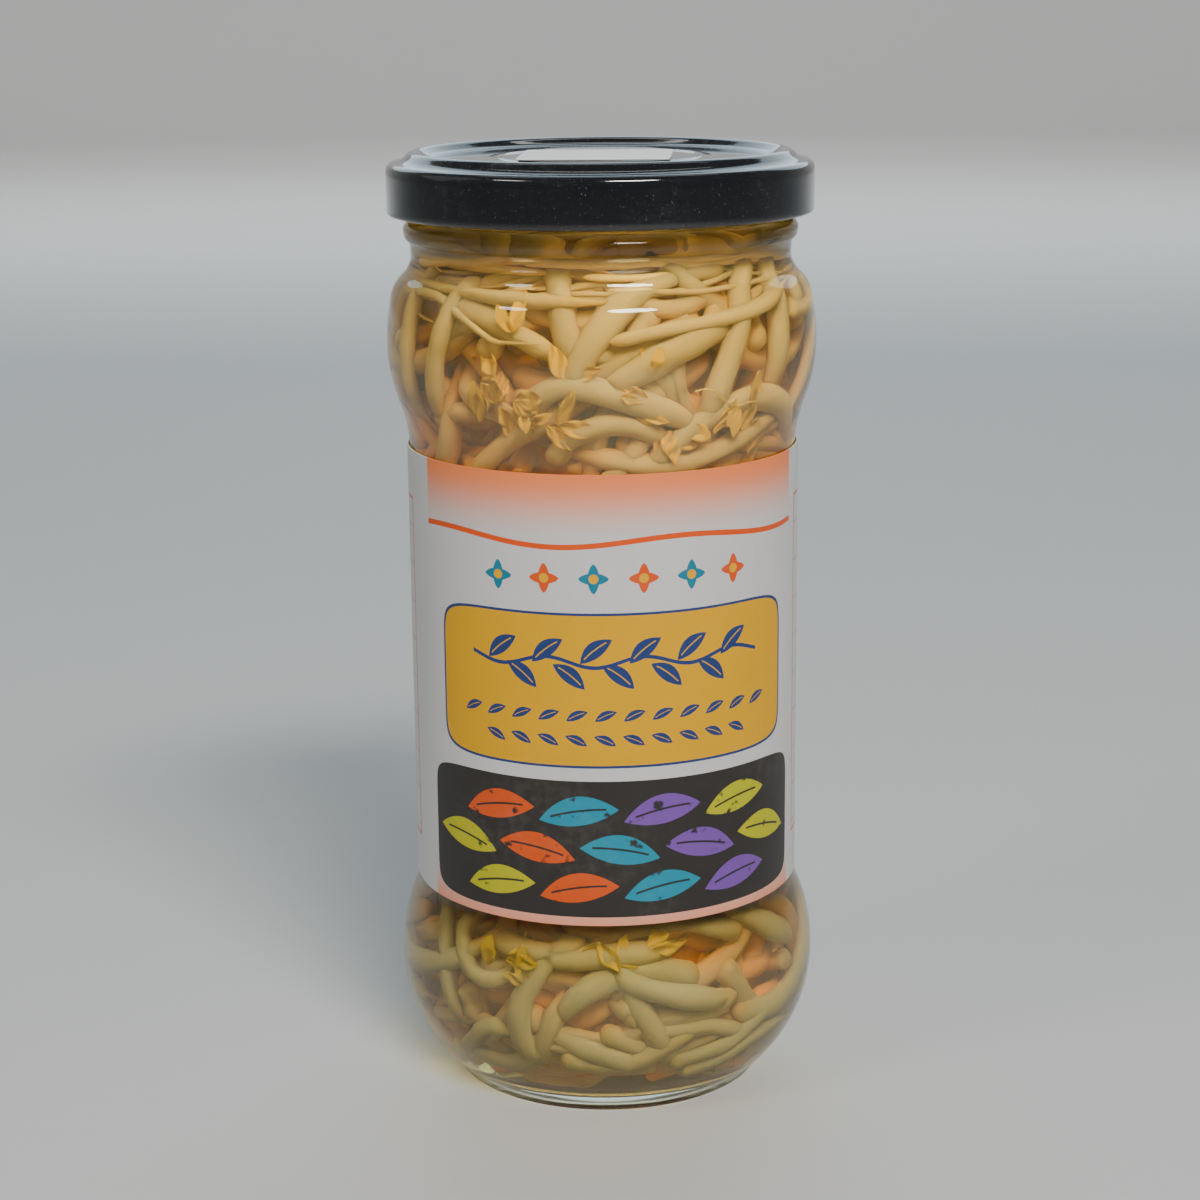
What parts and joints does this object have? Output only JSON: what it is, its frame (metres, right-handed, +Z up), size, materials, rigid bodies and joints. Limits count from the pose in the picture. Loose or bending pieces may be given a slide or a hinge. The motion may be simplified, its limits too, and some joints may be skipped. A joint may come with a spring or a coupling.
{
  "type": "jar of bean sprouts",
  "caption": "Waisted glass jar of bean sprouts in brine, closed by a lacquered steel twist-off cap, with a wrap-round paper label.",
  "frame": {"origin": "centre of the jar's foot on the surface that it stands on", "axes": "+Z up the jar's axis, -Y towards the front of the label"},
  "size_m": [0.068, 0.068, 0.151],
  "materials": {
    "jar_glass": "clear, smooth, faintly green",
    "lid_lacquer": "gloss black lacquer on steel",
    "sealing_compound": "matt, soft",
    "label_paper": "satin coated, printed in colour",
    "sticker_paper": "matt, plain",
    "brine": "clear amber liquid",
    "sprouts": "moist, translucent, cream"
  },
  "bodies": {
    "jar": {"jar_glass": "jar_glass", "label": "label_paper", "brine": "brine", "sprouts_lower": "sprouts", "sprouts_middle": "sprouts", "sprouts_upper": "sprouts"},
    "seal": {"lid_seal": "sealing_compound"},
    "cap": {"lid": "lid_lacquer", "lid_sticker": "sticker_paper"}
  },
  "joints": [
    {"name": "cap_rise", "type": "slide", "parent": "jar", "child": "seal", "axis": [0, 0, 1], "range_m": [0, 0.0018]},
    {"name": "cap_twist", "type": "hinge", "parent": "seal", "child": "cap", "pos_m": [0, 0, 0.146], "axis": [0, 0, 1], "range_deg": [0, 66]}
  ],
  "couplings": [
    {"joint": "cap_rise", "follows": "cap_twist", "m_per_rad": 0.0015626}
  ]
}
